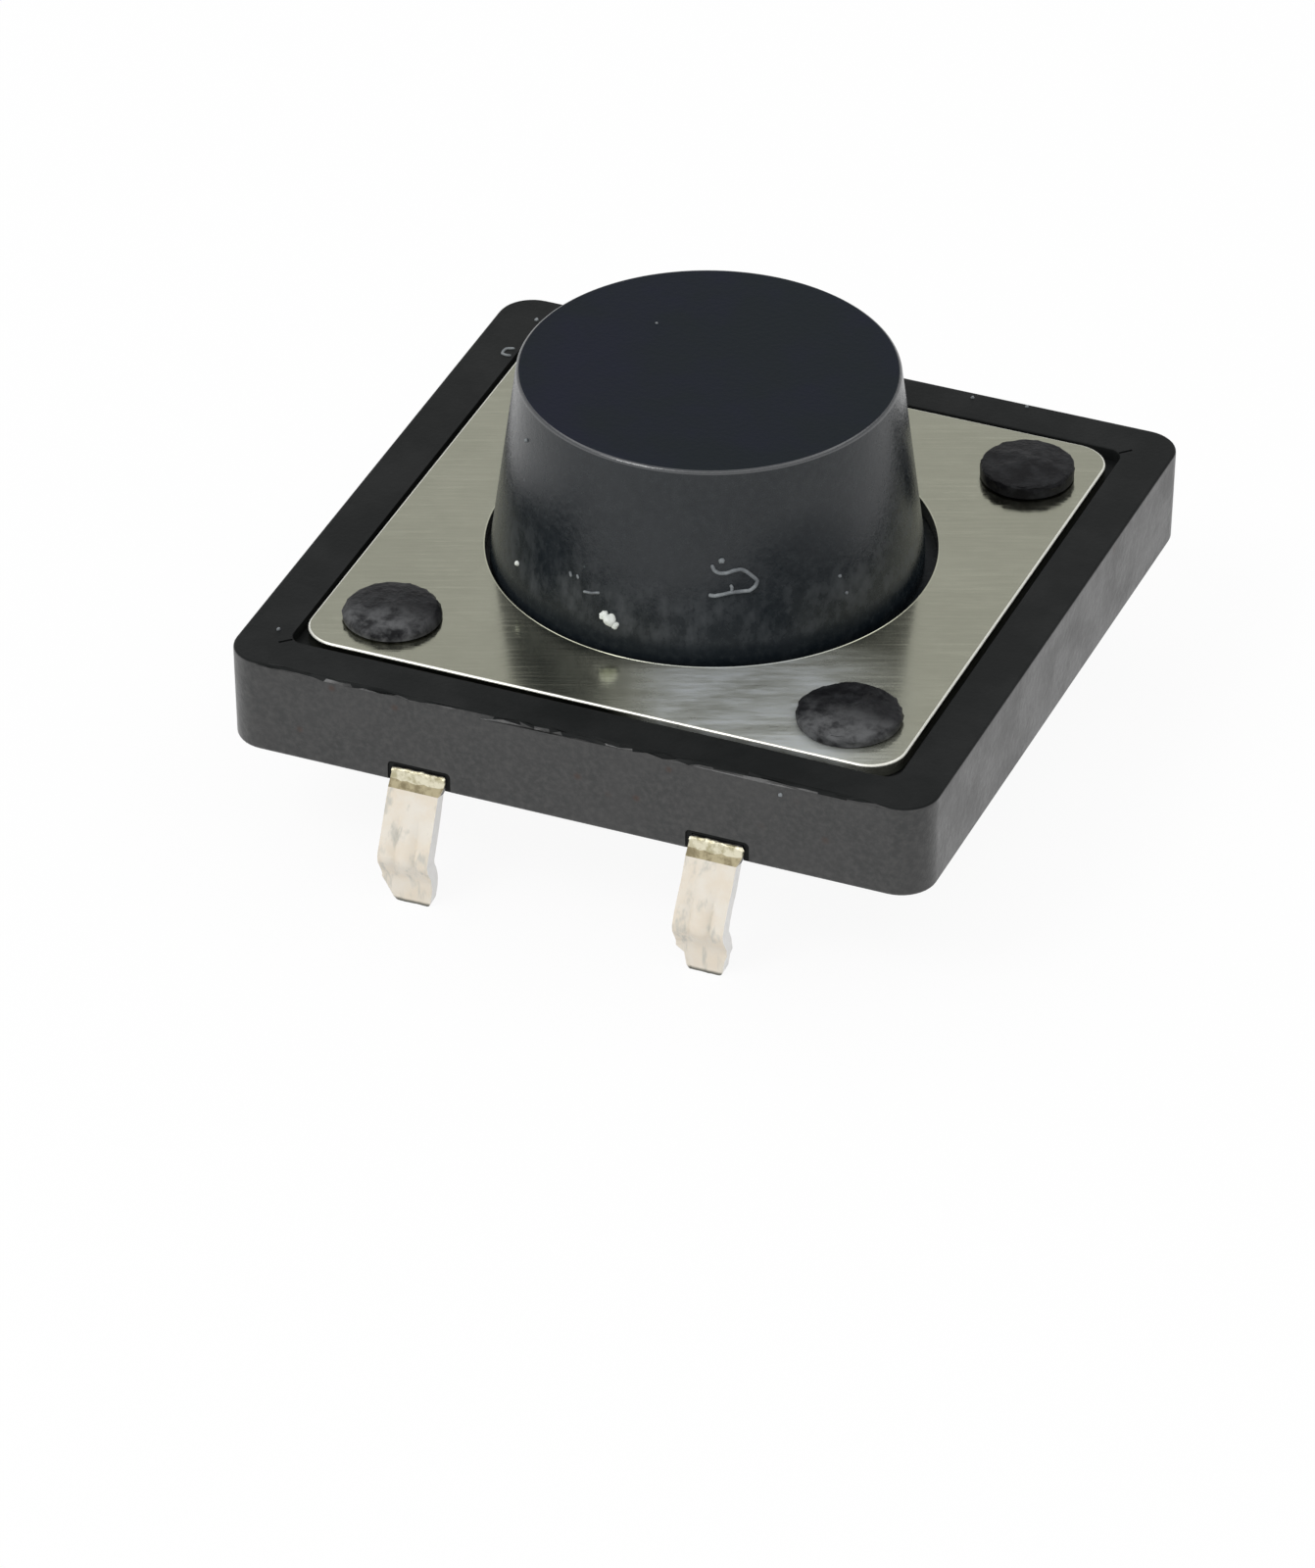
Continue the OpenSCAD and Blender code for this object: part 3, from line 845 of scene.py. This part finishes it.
def make_button():
    lean = math.atan((BUTTON_LOW_R - BUTTON_HIGH_R) / (BUTTON_TOP - PLATE_TOP))
    edge = BUTTON_EDGE_R
    edge_x = BUTTON_HIGH_R + edge * math.tan(lean) - edge / math.cos(lean)
    turns = [lean + (math.pi / 2 - lean) * i / 6 for i in range(7)]
    arc = [(edge_x + edge * math.cos(turn), 0, BUTTON_TOP - edge + edge * math.sin(turn))
           for turn in turns]
    profile = ([(0, 0, FLANGE_UNDER + 0.1), (3.3, 0, FLANGE_UNDER + 0.1),
                (BUTTON_LOW_R, 0, FLANGE_TOP), (BUTTON_LOW_R, 0, PLATE_TOP)] + arc
               + [(2.3, 0, BUTTON_TOP), (1.3, 0, BUTTON_TOP), (0, 0, BUTTON_TOP)])
    button = outline("button_cap", profile)
    spin_round(button, 144)

    flange = drum("flange", FLANGE_R, FLANGE_UNDER, FLANGE_TOP, 96)
    square_off(flange, FLANGE_HALF)
    soften(flange, 0.03, 60)
    combine(button, flange, "UNION")

    nub = drum("nub", NUB_R, NUB_UNDER, FLANGE_UNDER + 0.1, 48)
    round_edges(nub, both(lambda p: p.z < NUB_UNDER + 0.01), 0.05, 3)
    combine(button, nub, "UNION")
    give(button, BUTTON, BUTTON_FACE, BUTTON_EDGE)
    # The top takes the face material, and the rim the lighter one with its painted highlight
    for face in button.data.polygons:
        if face.center.z > BUTTON_TOP - 0.001:
            face.material_index = 1
        elif face.center.z > BUTTON_TOP - edge:
            face.material_index = 2
    open_mesh(button)
    bpy.ops.mesh.select_all(action="SELECT")
    bpy.ops.transform.translate(value=(*BUTTON_SHIFT, 0))
    close_mesh()
    smooth(button, 35)
    finish_piece(button, "plunger", ["button"])


def make_thread(name, points, radius, material, body="plunger"):
    """A thin round line from point to point: a fibre, or a scratch's raised lip."""
    thread = outline(name, points)
    only(thread)
    round_it = thread.modifiers.new("Round", "SKIN")
    for vert in thread.data.skin_vertices[0].data:
        vert.radius = (radius, radius)
    bpy.ops.object.modifier_apply(modifier=round_it.name)
    modify(thread, "Finer", "SUBSURF", levels=2, render_levels=2)
    give(thread, material)
    bpy.ops.object.shade_smooth()
    finish_piece(thread, body)


def make_fleck(name, place, radius, seed, material, body="plunger"):
    """A fleck of dust that is stuck to a face."""
    bpy.ops.mesh.primitive_ico_sphere_add(subdivisions=3, radius=radius, location=place)
    fleck = settle(bpy.context.object)
    fleck.name = name
    open_mesh(fleck)
    bpy.ops.mesh.select_all(action="SELECT")
    bpy.ops.transform.vertex_random(offset=0.35 * radius, uniform=0.0, normal=1.0, seed=seed)
    bpy.ops.mesh.vertices_smooth(factor=0.5, repeat=2)
    close_mesh()
    give(fleck, material)
    bpy.ops.object.shade_smooth()
    finish_piece(fleck, body)


def make_marks():
    """The fibre, scratches and flecks of dust that the switch carries."""
    fibre = [(-67.2, 3.41), (-66.5, 3.30), (-65.0, 3.25), (-62.9, 3.255), (-60.8, 3.295),
             (-59.0, 3.305), (-57.25, 3.24), (-55.75, 3.15), (-54.6, 3.08), (-55.2, 2.99),
             (-56.75, 2.92), (-59.1, 2.92), (-61.8, 2.915), (-64.1, 2.885), (-66.5, 2.86),
             (-68.1, 2.88)]
    for name, path, radius, material in (
            ("fibre", fibre, 0.034, FIBRE),
            ("fibre_branch", [(-62.1, 3.05), (-61.6, 3.0), (-61.8, 2.93)], 0.03, FIBRE),
            ("scratch_low", [(-103.6, 2.55), (-101.0, 2.575), (-98.35, 2.63)], 0.024, FIBRE),
            ("scratch_left", [(-108.6, 2.8), (-107.8, 2.71)], 0.026, FIBRE),
            ("scratch_middle", [(-106.1, 2.8), (-105.4, 2.73)], 0.022, FIBRE)):
        make_thread(name, [on_side(angle, z, 0.01) for angle, z in path], radius, material)
    hook = [(-5.28, 4.36), (-5.41, 4.31), (-5.43, 4.22), (-5.42, 4.13), (-5.34, 4.11),
            (-5.25, 4.13)]
    make_thread("frame_hook", [(x, y, BASE_TOP) for x, y in hook], 0.026, FIBRE,
                "base")
    for name, angle, z, radius, seed in (
            ("fleck_large", -94.8, 2.22, 0.11, 2), ("fleck_lobe_left", -96.5, 2.27, 0.085, 4),
            ("fleck_lobe_right", -93.3, 2.15, 0.07, 8), ("fleck_left", -130.3, 2.32, 0.045, 6),
            ("speck_fibre", -64.5, 3.47, 0.05, 9), ("speck_right", -29.9, 2.79, 0.035, 3),
            ("speck_right_low", -28.0, 2.45, 0.03, 5), ("speck_high", -134.4, 4.43, 0.035, 7)):
        make_fleck(name, on_side(angle, z, 0.2 * radius), radius, seed,
                   DUST if name.startswith("fleck") else FIBRE)
    make_fleck("speck_top", (-1.36, 0.95, BUTTON_TOP), 0.025, 3, FIBRE)
    for name, place, radius in (("speck_frame_left", (-5.3, 5.34, BASE_TOP), 0.04),
                                ("speck_frame_back", (2.31, 5.82, BASE_TOP), 0.035),
                                ("speck_frame_edge", (3.24, 5.9, BASE_TOP), 0.035),
                                ("speck_frame_front", (-5.45, -4.98, BASE_TOP), 0.035),
                                ("speck_wall", (3.57, -5.99, 1.44), 0.04)):
        make_fleck(name, place, radius, 4, FIBRE, "base")


# The snap dome

def make_dome():
    radius = (DOME_RIM ** 2 + DOME_RISE ** 2) / (2 * DOME_RISE)
    middle = PAD_TOP + DOME_RISE - radius
    reaches = [DOME_RIM * (1 - i / 12) for i in range(13)]
    dome = outline("snap_dome", [(r, 0, middle + math.sqrt(radius ** 2 - r ** 2))
                                 for r in reaches])
    spin_round(dome, 96)
    modify(dome, "Foil", "SOLIDIFY", thickness=FOIL, offset=1)
    give(dome, SPRING)
    smooth(dome, 40)
    finish_piece(dome, "base", ["contact_dome"])
    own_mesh(dome)


# The two terminals

def make_strip(name, x, arms):
    """A stamped sheet: a spine along Y that ends in a kinked leg at the front and at the back."""
    leg = [(x, y, z) for y, z in (
        (-6.36, LEG_TIP), (-6.36, LEG_TRIM), (-6.36, LEG_BEND), (-6.57, LEG_KINK),
        (-6.46, -0.91), (-6.35, -0.67), (-6.24, -0.43), (-6.085, -0.06), (-6.06, 0.1),
        (-6.02, LEAD_TOP))]
    stops = sorted(y + side * ARM_HALF for y in arms for side in (-1, 1))
    spine = [(x, y, LEAD_TOP) for y in (-SPINE_END, *stops, SPINE_END)]
    back = [(p[0], -p[1], p[2]) for p in reversed(leg)]
    strip = outline(name, leg + spine + back)
    open_mesh(strip)
    for height, radius in ((LEAD_TOP, 0.09), (LEG_KINK, 0.1), (LEG_BEND, 0.08)):
        pick(strip, "VERT", lambda p: abs(p.z - height) < 0.001 and abs(p.y) > 5.9)
        bpy.ops.mesh.bevel(offset=radius, segments=4, affect="VERTICES")
    bpy.ops.mesh.select_all(action="SELECT")
    bpy.ops.transform.translate(value=(-LEG_HALF, 0, 0))
    bpy.ops.mesh.extrude_region_move(TRANSFORM_OT_translate={"value": (2 * LEG_HALF, 0, 0)})
    pick(strip, "EDGE", lambda a, b: abs(a.x - b.x) > 0.9)
    bpy.ops.mesh.subdivide(number_cuts=9)
    close_mesh()
    return strip


def press_legs(strip, x):
    """Presses two grooves into each leg, trims its shoulders and narrows its tip."""
    open_mesh(strip)
    for end in (-1, 1):
        pick(strip, "VERT", lambda p: p.y * end > 5.9 and -1.3 < p.z < -0.5
             and abs(abs(p.x - x) - 0.196) < 0.01)
        bpy.ops.transform.translate(value=(0, -0.06 * end, 0))
    pick(strip, "VERT", lambda p: abs(p.y) > 5.9 and p.z > 0)
    bpy.ops.transform.resize(value=(0.94, 1, 1), center_override=(x, 0, 0))
    for height, share in ((0.24, 0.97), (0.275, 0.94)):
        pick(strip, "VERT", lambda p: abs(p.y) > 5.92 and p.z > height)
        bpy.ops.transform.resize(value=(share, 1, 1), center_override=(x, 0, 0))
    # The left terminal's tips are cut at a slant, and the right one's have a shoulder
    trims = (((LEG_TRIM, -0.425, 0.487), (LEG_TIP, -0.229, 0.45)) if x < 0 else
             ((LEG_TRIM, -0.334, 0.45), (LEG_TIP, -0.267, 0.403)))
    for height, low, high in trims:
        share = (high - low) / (2 * LEG_HALF)
        pick(strip, "VERT", lambda p: abs(p.z - height) < 0.01)
        still = x + (low + LEG_HALF * share) / (1 - share)
        bpy.ops.transform.resize(value=(share, 1, 1), center_override=(still, 0, 0))
    # The tips' corners are rounded, the roots torn, and the rest a little uneven
    pick(strip, "VERT", lambda p: p.z < LEG_TIP + 0.01
         and min(abs(p.x - x - low), abs(p.x - x - high)) < 0.01)
    bpy.ops.mesh.bevel(offset=0.07, segments=3, affect="VERTICES")
    put_in_order()
    pick(strip, "VERT", lambda p: abs(p.z - 0.1) < 0.02 and abs(p.y) > 6)
    bpy.ops.transform.vertex_random(offset=0.03, uniform=0.0, normal=0.0, seed=3)
    pick(strip, "VERT", lambda p: abs(p.y) > 5.93 and p.z > 0.2)
    bpy.ops.transform.vertex_random(offset=0.025, uniform=0.0, normal=0.0, seed=6)
    pick(strip, "VERT", lambda p: p.z < -0.2)
    bpy.ops.transform.vertex_random(offset=0.008, uniform=0.0, normal=0.0, seed=5)
    # Below the base the legs are narrower on one side
    pick(strip, "VERT", lambda p: p.z < -0.03)
    bpy.ops.transform.resize(value=(0.88, 1, 1), center_override=(x - LEG_HALF, 0, 0))
    # The front left leg stands a little to the side, and the front right one leans
    steps = [(1, -0.1)] if x < 0 else [(height, -0.012) for height in (-0.3, -0.5, -0.8)]
    for height, step in steps:
        pick(strip, "VERT", lambda p: p.y < -5.9 and p.z < height)
        bpy.ops.transform.translate(value=(step, 0, 0))
    close_mesh()


def make_terminal(name, side, arms, pads, node):
    x = side * LEG_X
    strip = make_strip(name, x, arms)
    open_mesh(strip)
    # Arms grow out of the spine towards the other terminal
    inner = x - side * LEG_HALF
    far = ARM_END if side < 0 else 0.0
    for y in arms:
        pick(strip, "EDGE", both(
            lambda p: abs(p.x - inner) < 0.001 and abs(p.y - y) < ARM_HALF + 0.01 and p.z > 0.28))
        bpy.ops.mesh.extrude_region_move(
            TRANSFORM_OT_translate={"value": (far - inner, 0, 0)})
    bpy.ops.mesh.select_all(action="SELECT")
    bpy.ops.mesh.normals_make_consistent(inside=False)
    close_mesh()
    press_legs(strip, x)
    modify(strip, "Sheet", "SOLIDIFY", thickness=LEAD_TOP - LEAD_UNDER, offset=-1,
           use_even_offset=True)
    soften(strip, 0.035, 50)
    for px, py, radius, top in pads:
        pad = drum("pad", radius, LEAD_UNDER + 0.03, top, 40, (px, py))
        round_edges(pad, both(lambda p: p.z > top - 0.01), 0.03, 2)
        combine(strip, pad, "UNION")
    give(strip, TIN, BRASS, BRASS_PAINTED_LIGHT)
    for face in strip.data.polygons:
        # The lighter brass copy above 0.1 mm is painted light, and the darker one below is painted
        # shade
        if abs(face.center.y) > SPINE_END and face.center.z > -0.12:
            face.material_index = 2 if face.center.z > 0.1 else 1
    smooth(strip, 40)
    finish_piece(strip, "base", [node])


make_housing()
make_plate()
make_button()
make_marks()
make_dome()
make_terminal("terminal_outer", -1, (-ARM_Y, ARM_Y),
              [(x, end * y, CONTACT_R, PAD_TOP)
               for x, y in ((-LEG_X, CONTACT_Y), (ARM_CONTACT_X, ARM_Y)) for end in (-1, 1)],
              "terminal_strip_outer")
make_terminal("terminal_centre", 1, (0.0,), [(0, 0, CENTRE_R, CENTRE_TOP)],
              "terminal_strip_centre")


# Floor, light and camera

def make_floor():
    bpy.ops.mesh.primitive_plane_add(size=1.2, location=(0, 0, LEG_TIP * MM))
    floor = bpy.context.object
    floor.name = "floor"
    paper = bpy.data.materials.new("Floor_paper")
    paper.use_nodes = True
    tree = paper.node_tree
    tree.nodes.clear()
    matt = add(tree, "ShaderNodeBsdfDiffuse", -400, 100, Color=(0.86, 0.86, 0.86, 1))
    glow = add(tree, "ShaderNodeEmission", -400, -100, Color=(1, 1, 1, 1), Strength=1.0)
    path = add(tree, "ShaderNodeLightPath", -900, 300)
    seen = math_node(tree, -650, 300, "MAXIMUM", path.outputs["Is Camera Ray"],
                     path.outputs["Is Glossy Ray"])
    share = math_node(tree, -450, 300, "MULTIPLY", seen, 0.93)
    lit = add(tree, "ShaderNodeMixShader", -150, 100)
    tree.links.new(share, lit.inputs["Fac"])
    tree.links.new(matt.outputs[0], lit.inputs[1])
    tree.links.new(glow.outputs[0], lit.inputs[2])
    side = add(tree, "ShaderNodeNewGeometry", -400, -300)
    clear = add(tree, "ShaderNodeBsdfTransparent", -150, -100)
    through = add(tree, "ShaderNodeMixShader", 100, 0)
    tree.links.new(side.outputs["Backfacing"], through.inputs["Fac"])
    tree.links.new(lit.outputs[0], through.inputs[1])
    tree.links.new(clear.outputs[0], through.inputs[2])
    end = add(tree, "ShaderNodeOutputMaterial", 300, 0)
    tree.links.new(through.outputs[0], end.inputs["Surface"])
    give(floor, paper)


def make_world():
    """A studio that is bright near the horizon and dimmer above, on a white background."""
    world = bpy.data.worlds.new("Studio")
    bpy.context.scene.world = world
    world.use_nodes = True
    tree = world.node_tree
    tree.nodes.clear()
    around = add(tree, "ShaderNodeTexCoord", -900, 0)
    part = split(tree, -700, 0, around.outputs["Generated"])
    ramp = add(tree, "ShaderNodeValToRGB", -500, 0)
    tree.links.new(part["Z"], ramp.inputs["Fac"])
    # How bright it is at each height, with a band above that the upward faces mirror
    stops = ((0.0, 1.0), (0.25, 0.85), (0.5, 0.5), (0.65, 0.42), (0.77, 1.9), (0.88, 1.0),
             (1.0, 0.6))
    for place, _ in stops[1:-1]:
        ramp.color_ramp.elements.new(place)
    for element, (place, level) in zip(ramp.color_ramp.elements, stops):
        element.position = place
        element.color = (level, level, level, 1)
    soft = add(tree, "ShaderNodeBackground", -200, 0, Strength=1.0)
    tree.links.new(ramp.outputs["Color"], soft.inputs["Color"])
    white = add(tree, "ShaderNodeBackground", -200, -150, Strength=1.0)
    white.inputs["Color"].default_value = (1, 1, 1, 1)
    path = add(tree, "ShaderNodeLightPath", -500, 300)
    mix = add(tree, "ShaderNodeMixShader", 50, 0)
    tree.links.new(path.outputs["Is Camera Ray"], mix.inputs["Fac"])
    tree.links.new(soft.outputs[0], mix.inputs[1])
    tree.links.new(white.outputs[0], mix.inputs[2])
    end = add(tree, "ShaderNodeOutputWorld", 300, 0)
    tree.links.new(mix.outputs[0], end.inputs["Surface"])


def make_lamp(name, place, size, power):
    bpy.ops.object.light_add(type="AREA", location=[v * MM for v in place])
    lamp = bpy.context.object
    lamp.name = name
    lamp.data.shape = "SQUARE"
    lamp.data.size = size * MM
    lamp.data.energy = power
    aim = Vector([-v for v in place])
    lamp.rotation_mode = "QUATERNION"
    lamp.rotation_quaternion = aim.to_track_quat("-Z", "Y")


def make_camera():
    place = Vector((52.232, -131.725, 92.243)) * MM
    aim = Vector((-0.287, -1.578, -2.091)) * MM
    bpy.ops.object.camera_add(location=place)
    camera = bpy.context.object
    camera.name = "camera"
    camera.rotation_mode = "QUATERNION"
    camera.rotation_quaternion = ((aim - place).to_track_quat("-Z", "Y")
                                  @ Quaternion((0, 0, 1), math.radians(0.278)))
    camera.data.lens = 238.76
    camera.data.sensor_width = 36
    camera.data.sensor_fit = "AUTO"
    camera.data.clip_start = 0.01
    camera.data.clip_end = 5
    bpy.context.scene.camera = camera


make_floor()
make_world()
make_lamp("front_softbox", (-70, -120, 170), 80, 0.13)
make_camera()
bpy.context.scene.view_settings.view_transform = "Standard"
